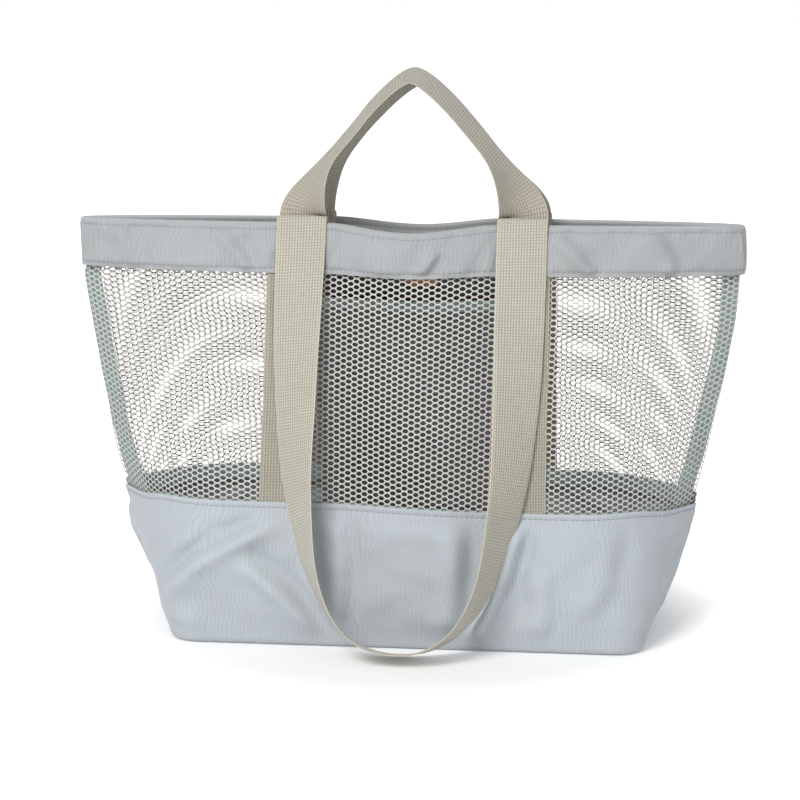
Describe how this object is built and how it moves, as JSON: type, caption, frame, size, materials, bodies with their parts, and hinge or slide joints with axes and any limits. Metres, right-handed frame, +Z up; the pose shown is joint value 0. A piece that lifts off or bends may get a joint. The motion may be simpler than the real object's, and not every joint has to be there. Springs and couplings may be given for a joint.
{
  "type": "beach bag",
  "caption": "Open beach tote with mesh walls on a fabric base, a folded top band, an inner pocket, standing carry handles and long hanging shoulder handles.",
  "frame": {"origin": "middle of the bottom panel's underside, on the ground, midway between the outermost points in X and Y", "axes": "+X towards the right side seam, -Y towards the front wall, +Z up; the bag is widest along X"},
  "size_m": [0.531, 0.286, 0.4386],
  "materials": {
    "mesh": "open hexagonal knitted polyester mesh, pale grey",
    "base_fabric": "coated polyester weave, light blue grey, slight sheen",
    "band_fabric": "coated polyester weave, blue grey, slight sheen",
    "webbing": "coarse flat webbing, warm off-white",
    "seam_tape": "thin woven binding tape, grey teal",
    "pocket_fabric": "plain polyester lining weave, dark grey",
    "tab": "plain woven tab, brown"
  },
  "bodies": {
    "bag": {"back_base_panel": "base_fabric", "back_base_seam_tape": "seam_tape", "back_left_webbing_leg": "webbing", "back_long_handle_folds": "webbing", "back_mesh_panel": "mesh", "back_right_webbing_leg": "webbing", "back_short_handle_roots": "webbing", "back_top_band": "band_fabric", "bottom_panel": "base_fabric", "front_base_panel": "base_fabric", "front_base_seam_tape": "seam_tape", "front_left_webbing_leg": "webbing", "front_long_handle_folds": "webbing", "front_mesh_panel": "mesh", "front_right_webbing_leg": "webbing", "front_short_handle_roots": "webbing", "front_top_band": "band_fabric", "inner_tab": "tab", "left_gusset_seam_tape": "seam_tape", "left_side_seam_tape": "seam_tape", "pocket_back_sheet": "pocket_fabric", "pocket_edge_binding": "seam_tape", "pocket_front_sheet": "pocket_fabric", "right_gusset_seam_tape": "seam_tape", "right_side_seam_tape": "seam_tape"},
    "front_long_handle": {"front_long_handle": "webbing"},
    "back_long_handle": {"back_long_handle": "webbing"},
    "front_short_handle": {"front_short_handle": "webbing"},
    "back_short_handle": {"back_short_handle": "webbing"}
  },
  "joints": [
    {"name": "front_long_handle_lift", "type": "hinge", "parent": "bag", "child": "front_long_handle", "pos_m": [0, -0.02347, 0.32], "axis": [-1, 0, 0], "range_deg": [0, 130], "deforming": ["front_long_handle_folds"]},
    {"name": "back_long_handle_lift", "type": "hinge", "parent": "bag", "child": "back_long_handle", "pos_m": [0, 0.02347, 0.32], "axis": [1, 0, 0], "range_deg": [0, 130], "deforming": ["back_long_handle_folds"]},
    {"name": "front_short_handle_swing", "type": "hinge", "parent": "bag", "child": "front_short_handle", "pos_m": [0, -0.01613, 0.32419], "axis": [1, 0, 0], "range_deg": [0, 12]},
    {"name": "back_short_handle_swing", "type": "hinge", "parent": "bag", "child": "back_short_handle", "pos_m": [0, 0.01613, 0.32419], "axis": [-1, 0, 0], "range_deg": [0, 12]}
  ]
}
